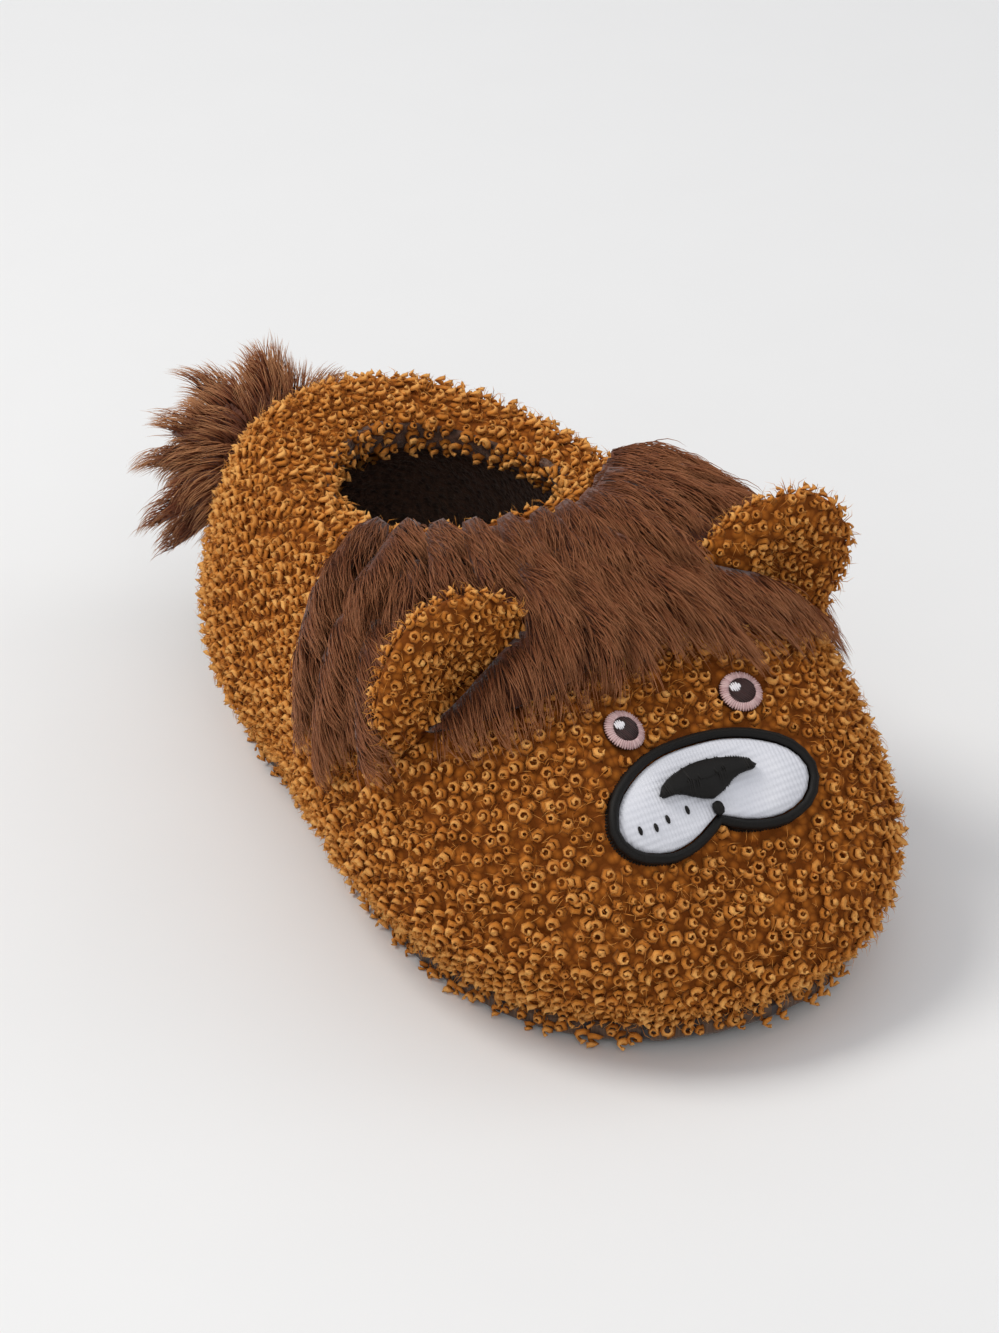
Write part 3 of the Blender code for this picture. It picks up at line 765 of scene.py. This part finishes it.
def maneHairs(name, seed, lengths, lifts):
    # hairs that flow from the centre along the body; none grow on the band's underside
    rng = np.random.default_rng(seed)
    bm = copyOfNode("mane")
    corners, ups = trianglesOf(bm)
    bm.free()
    points, normals = scatter(corners, ups, rng, int(mane["hairs"] * mane["spare"]))
    free = []
    for p, n in zip(points, normals):
        hit = trees["upper"].ray_cast(Vector(p) + Vector(n) * 2e-4, Vector(n), mane["bodyGap"])
        free.append(hit[0] is None)
    points = points[np.array(free)][: mane["hairs"]]
    count = len(points)
    flow = np.zeros((count, 3))
    flow[:, :2] = points[:, :2] - np.array(mane["centre"])
    flow = unit(flow)
    swirl = np.array([noise.noise_vector(Vector(p) * mane["swirlScale"])[:] for p in points])
    up = np.array([trees["upper"].find_nearest(Vector(p))[1][:] for p in points])
    flow = unit(flow + swirl * mane["swirl"] + rng.normal(0, mane["spread"], (count, 3)))
    flow = unit(flow - (flow * up).sum(1, keepdims=True) * up)
    length = rng.uniform(*lengths, count)[:, None]
    lift = rng.uniform(*lifts, count)[:, None]
    wild = (rng.random(count) < mane["wildShare"])[:, None]
    lift = np.where(wild, lift + mane["wildLift"], lift)
    middles = points + length * 0.5 * unit(flow + up * (lift + mane["arch"]))
    droop = np.array([0, 0, mane["droop"]])
    tips = points + length * unit(flow + up * lift * mane["tipLift"] - droop)
    pull = mane["pull"] * rng.uniform(*hair["pulls"], (count, 1))
    tips, owner = clumped(points, tips, mane["locks"], pull, rng)
    middles, tips = outOfBody(middles, hair["middleRoom"]), outOfBody(tips, hair["tipRoom"])
    tone = mane["lockTone"] * rng.random(count)[owner] + (1 - mane["lockTone"]) * rng.random(count)
    radius = rng.uniform(*hair["radius"], count)
    keep = clearOfEars(points, middles, tips, (middles + tips) / 2)
    points, middles, tips, tone, radius = (
        rows[keep] for rows in (points, middles, tips, tone, radius)
    )
    growStrands(name, points, middles, tips, radius, tone, maneFinish)


addPiece("maneGround", copyOfNode("mane"), underFinish, ["mane"])
maneHairs("maneHairLow", 11, lengths=(0.0075, 0.0130), lifts=(0.02, 0.22))
maneHairs("maneHairTop", 12, lengths=(0.0060, 0.0105), lifts=(0.10, 0.40))

tail = {
    "hairs": 7500,
    "length": (0.0050, 0.0095),
    "centre": (-0.001, 0.0905, 0.0370),
    "locks": 0.03,
    "pull": 0.5,
    "swirlScale": 70,
    "swirl": 0.5,
    "spread": 0.16,
    "shift": (0, 0.004, 0),
    "backward": (0, 0.15, 0),
    "arch": 0.25,
    "droop": 0.30,
    "lockTone": 0.5,
}
rng = np.random.default_rng(21)
bm = copyOfNode("tail")
corners, ups = trianglesOf(bm)
addPiece("tailGround", bm, underFinish, ["tail"])
points, normals = scatter(corners, ups, rng, tail["hairs"])
count = len(points)
away = unit(points - np.array(tail["centre"]) + np.array(tail["shift"]))
swirl = np.array([noise.noise_vector(Vector(p) * tail["swirlScale"])[:] for p in points])
spread = rng.normal(0, tail["spread"], (count, 3))
flow = unit(away + swirl * tail["swirl"] + spread + np.array(tail["backward"]))
length = rng.uniform(*tail["length"], count)[:, None]
middles = points + length * 0.5 * unit(flow + np.array([0, 0, tail["arch"]]))
tips = points + length * unit(flow - np.array([0, 0, tail["droop"]]))
pull = tail["pull"] * rng.uniform(*hair["pulls"], (count, 1))
tips, owner = clumped(points, tips, tail["locks"], pull, rng)
middles, tips = outOfBody(middles, hair["middleRoom"]), outOfBody(tips, hair["tipRoom"])
tone = tail["lockTone"] * rng.random(count)[owner] + (1 - tail["lockTone"]) * rng.random(count)
radius = rng.uniform(*hair["radius"], count)
growStrands("tailHair", points, middles, tips, radius, tone, tailFinish)
print("mane and tail made")


# Fuzz: single fibres that stand out of the curls

fuzz = {
    "hairs": 11000,
    "length": (0.0022, 0.0042),
    "radius": (0.00005, 0.00009),
    "room": 0.0024,
    "droop": 0.1,
}
rng = np.random.default_rng(41)
bm = copyOfNode("upper")
corners, ups = trianglesOf(bm, pileFace)
bm.free()
for side in ("inner", "outer"):
    bm = copyOfNode(f"ear_{side}")
    more = trianglesOf(bm)
    corners, ups = np.vstack([corners, more[0]]), np.vstack([ups, more[1]])
    bm.free()
points, normals = scatter(corners, ups, rng, fuzz["hairs"])
clear = np.ones(len(points), bool)
for nodeName in ("muzzle_patch", "muzzle_border", "eye_inner", "eye_outer", "mane"):
    clear &= distances(trees[nodeName], points) > fuzz["room"]
points, normals = points[clear], normals[clear]
count = len(points)
length = rng.uniform(*fuzz["length"], count)[:, None]
way = rng.normal(0, 1, (count, 3))
way = unit(way - (way * normals).sum(1, keepdims=True) * normals)
middles = points + length * (normals * 0.75 + way * 0.15)
tips = points + length * unit(normals * 0.8 + way * 0.75 - np.array([0, 0, fuzz["droop"]]))
radius, tone = rng.uniform(*fuzz["radius"], count), rng.random(count)
# the fibres take the curls' finish, dark at the root as painted shade
growStrands(
    "pileFuzz", points, middles, tips, radius, tone, teddyFinish, shortStrand
)
print("fuzz made:", count)


# The face

face = {
    "centre": Vector((-0.0015, -0.0590, 0.0370)),
    "slope": 45,
    "aside": -0.0022,
    "above": 0.03,
    "reach": 0.08,
    "thread": 0.00052,
    "threadLift": 0.00010,
    "borderWidth": 0.0016,
    "borderJitter": 0.00006,
    "noseThread": 0.00040,
    "longestStitch": 0.0032,
    "threadShare": 0.62,
    "fillLift": 0.00015,
    "curvePoints": 12,
    "whiskerHalf": 0.0006,
    "whiskerRadius": 0.00038,
    "muzzle": [
        (0, 0.0100), (0.0070, 0.0094), (0.0135, 0.0070), (0.0185, 0.0030), (0.0202, -0.0018),
        (0.0178, -0.0062), (0.0125, -0.0084), (0.0066, -0.0078), (0.0026, -0.0062), (0, -0.0048),
    ],
    "nose": [
        (0, 0.0058), (0.0050, 0.0051), (0.0092, 0.0032), (0.0102, 0.0018),
        (0.0062, 0.0014), (0.0028, -0.0002), (0, -0.0012),
    ],
    "whiskers": [(0.0131, -0.0028), (0.0160, -0.0024), (0.0103, -0.0021), (0.0058, -0.0016)],
    "eyeAside": 0.0121,
    "eyeUp": 0.0150,
    "eyeRadius": 0.0037,
    "ringStitches": 48,
    "ringFrom": 0.64,
    "ringTo": 0.96,
    "ringToLift": 0.00012,
    "ringThread": 0.00026,
    "pupilShare": 0.62,
    "pupilThread": 0.00038,
    "glintPlace": (-0.0009, 0.0010),
    "glintRadius": 0.00085,
    "glintThread": 0.00036,
}
slope = math.radians(face["slope"])
faceUp = Vector((0, math.cos(slope), math.sin(slope)))
faceOut = Vector((0, -math.sin(slope), math.cos(slope)))


def onFace(aside, up, nodes, lift=0.0):
    # a point of the flat drawing, set down on the solids of the face
    flat = face["centre"] + Vector((aside, 0, 0)) + faceUp * up
    start = flat + faceOut * face["above"]
    hits = [trees[n].ray_cast(start, -faceOut, face["reach"]) for n in nodes]
    hits = [h for h in hits if h[0] is not None]
    if not hits:
        return flat, faceOut
    place, normal = max(hits, key=lambda h: (h[0] - flat).dot(faceOut))[:2]
    return place + normal * lift, normal


def stitchShape():
    bm = bmesh.new()
    bmesh.ops.create_uvsphere(bm, u_segments=6, v_segments=5, radius=1)
    return template(bm)


stitch = stitchShape()


def sewStitches(name, ends, radius, tones, material):
    # one rounded thread between each pair of points
    places, faces = stitch
    a = np.array([e[0][:] for e in ends])
    b = np.array([e[1][:] for e in ends])
    n = np.array([e[2][:] for e in ends])
    along = unit(b - a)
    side = unit(np.cross(n, along))
    up = np.cross(along, side)
    half = np.linalg.norm(b - a, axis=1)[:, None, None] / 2 + radius * 0.6
    made = (
        ((a + b) / 2)[:, None]
        + half * places[:, 2][None, :, None] * along[:, None]
        + radius * places[:, 0][None, :, None] * side[:, None]
        + radius * 1.15 * places[:, 1][None, :, None] * up[:, None]
    )
    mesh = joined(name, made, faces, {"tone": tones[:, None]})
    placePiece(name, mesh, material)


def fullOutline(rows, aside):  # both halves of a mirrored outline, as a smooth closed loop
    loop = [(x, y) for x, y in rows] + [(-x, y) for x, y in rows[-2:0:-1]]
    smooth, count = [], len(loop)
    for i in range(count):
        p0, p1, p2, p3 = (np.array(loop[(i + k) % count]) for k in (-1, 0, 1, 2))
        for k in range(face["curvePoints"]):
            t = k / face["curvePoints"]
            smooth.append(
                0.5 * (2 * p1 + (p2 - p0) * t + (2 * p0 - 5 * p1 + 4 * p2 - p3) * t**2
                       + (3 * p1 - p0 - 3 * p2 + p3) * t**3)
            )
    smooth = np.array(smooth)
    smooth[:, 0] += aside
    return smooth


def evenly(loop, step):  # points at equal distances along a closed loop, and their directions
    closed = np.vstack([loop, loop[:1]])
    lengths = np.concatenate([[0], np.cumsum(np.linalg.norm(np.diff(closed, axis=0), axis=1))])
    count = int(lengths[-1] / step)
    where = np.linspace(0, lengths[-1], count, endpoint=False)
    points = np.stack([np.interp(where, lengths, closed[:, k]) for k in (0, 1)], 1)
    ahead = np.roll(points, -1, 0) - np.roll(points, 1, 0)
    return points, unit(ahead)


def dressSolid(name, nodeName, material):  # the solid itself, with its finish
    addPiece(name, copyOfNode(nodeName), material, [nodeName])


dressSolid("muzzleCloth", "muzzle_patch", whiteFinish)
dressSolid("borderGround", "muzzle_border", blackFinish)

rng = np.random.default_rng(31)
loop = fullOutline(face["muzzle"], face["aside"])
points, ahead = evenly(loop, face["thread"])
outward = np.stack([ahead[:, 1], -ahead[:, 0]], 1)
middleOfLoop = points.mean(0)
if ((points - middleOfLoop) * outward).sum() < 0:
    outward = -outward
ends = []
for p, o in zip(points, outward):
    outer = p + o * face["borderWidth"]
    jitter = rng.normal(0, face["borderJitter"], 2)
    a, na = onFace(p[0] + jitter[0], p[1], ["muzzle_border"], face["threadLift"])
    b, nb = onFace(outer[0] + jitter[1], outer[1], ["muzzle_border"], face["threadLift"])
    ends.append((a, b, (na + nb).normalized()))
tones = rng.random(len(ends))
sewStitches(
    "borderStitches", ends, face["thread"] / 2 * 1.05, tones, blackFinish
)


def filledStitches(name, loop, step, nodes, material, turn=0.0):
    # threads side by side across a closed outline
    cos, sin = math.cos(turn), math.sin(turn)
    turned = loop @ np.array([[cos, -sin], [sin, cos]])
    low, high = turned[:, 0].min(), turned[:, 0].max()
    ends = []
    for x in np.arange(low + step / 2, high, step):
        ys = []
        for a, b in zip(turned, np.roll(turned, -1, 0)):
            if (a[0] - x) * (b[0] - x) < 0:
                ys.append(a[1] + (b[1] - a[1]) * (x - a[0]) / (b[0] - a[0]))
        if len(ys) < 2:
            continue
        bottom, top = min(ys), max(ys)
        pieces = max(1, round((top - bottom) / face["longestStitch"]))
        for k in range(pieces):
            y0 = bottom + (top - bottom) * k / pieces
            y1 = bottom + (top - bottom) * (k + 1) / pieces
            back = np.array([[x, y0], [x, y1]]) @ np.array([[cos, sin], [-sin, cos]])
            a, na = onFace(*back[0], nodes, face["fillLift"])
            b, nb = onFace(*back[1], nodes, face["fillLift"])
            ends.append((a, b, (na + nb).normalized()))
    sewStitches(name, ends, step * face["threadShare"], rng.random(len(ends)), material)


dressSolid("noseGround", "nose", blackFinish)
noseLoop = fullOutline(face["nose"], face["aside"])
filledStitches(
    "noseStitches", noseLoop, face["noseThread"], ["nose"], blackFinish
)
dressSolid("mouthThread", "mouth_line", blackFinish)

ends = []
for aside, up in face["whiskers"]:
    across, half = face["aside"] - aside, face["whiskerHalf"]
    a, n = onFace(across, up - half, ["muzzle_patch"], face["threadLift"])
    b, _ = onFace(across, up + half, ["muzzle_patch"], face["threadLift"])
    ends.append((a, b, n))
tones = rng.random(len(ends))
sewStitches("whiskerKnots", ends, face["whiskerRadius"], tones, blackFinish)

ringFinish = satinThread("eyeRing", (0.42, 0.24, 0.24), (0.72, 0.52, 0.50))
pupilFinish = satinThread("eyePupil", (0.014, 0.007, 0.006), (0.060, 0.022, 0.020), 0.3)
glintFinish = satinThread("eyeGlint", (0.75, 0.72, 0.74), (0.90, 0.88, 0.90), 0.3)
for side, sign in (("inner", 1), ("outer", -1)):
    node = f"eye_{side}"
    dressSolid(f"eyeGround_{side}", node, pupilFinish)
    angles = np.linspace(0, 2 * math.pi, face["ringStitches"], endpoint=False)
    circle = np.stack([np.cos(angles), np.sin(angles)], 1)
    centre = np.array([sign * face["eyeAside"], face["eyeUp"]])
    radius = face["eyeRadius"]
    ends = []
    for way in circle:
        a, n = onFace(*(centre + way * radius * face["ringFrom"]), [node], face["fillLift"])
        b, _ = onFace(*(centre + way * radius * face["ringTo"]), [node], face["ringToLift"])
        ends.append((a, b, n))
    tones = rng.random(len(ends))
    sewStitches(f"eyeRing_{side}", ends, face["ringThread"], tones, ringFinish)
    pupil = centre + circle * radius * face["pupilShare"]
    filledStitches(
        f"eyePupil_{side}", pupil, face["pupilThread"], [node], pupilFinish, turn=0.5
    )
    glint = centre + np.array(face["glintPlace"]) + circle * face["glintRadius"]
    filledStitches(
        f"eyeGlint_{side}", glint, face["glintThread"], [node], glintFinish
    )
print("face made")

shown = sum(
    len(p.vertices) - 2
    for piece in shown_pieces()
    if piece.type == "MESH"
    for p in piece.data.polygons
)
print("triangles shown:", shown)
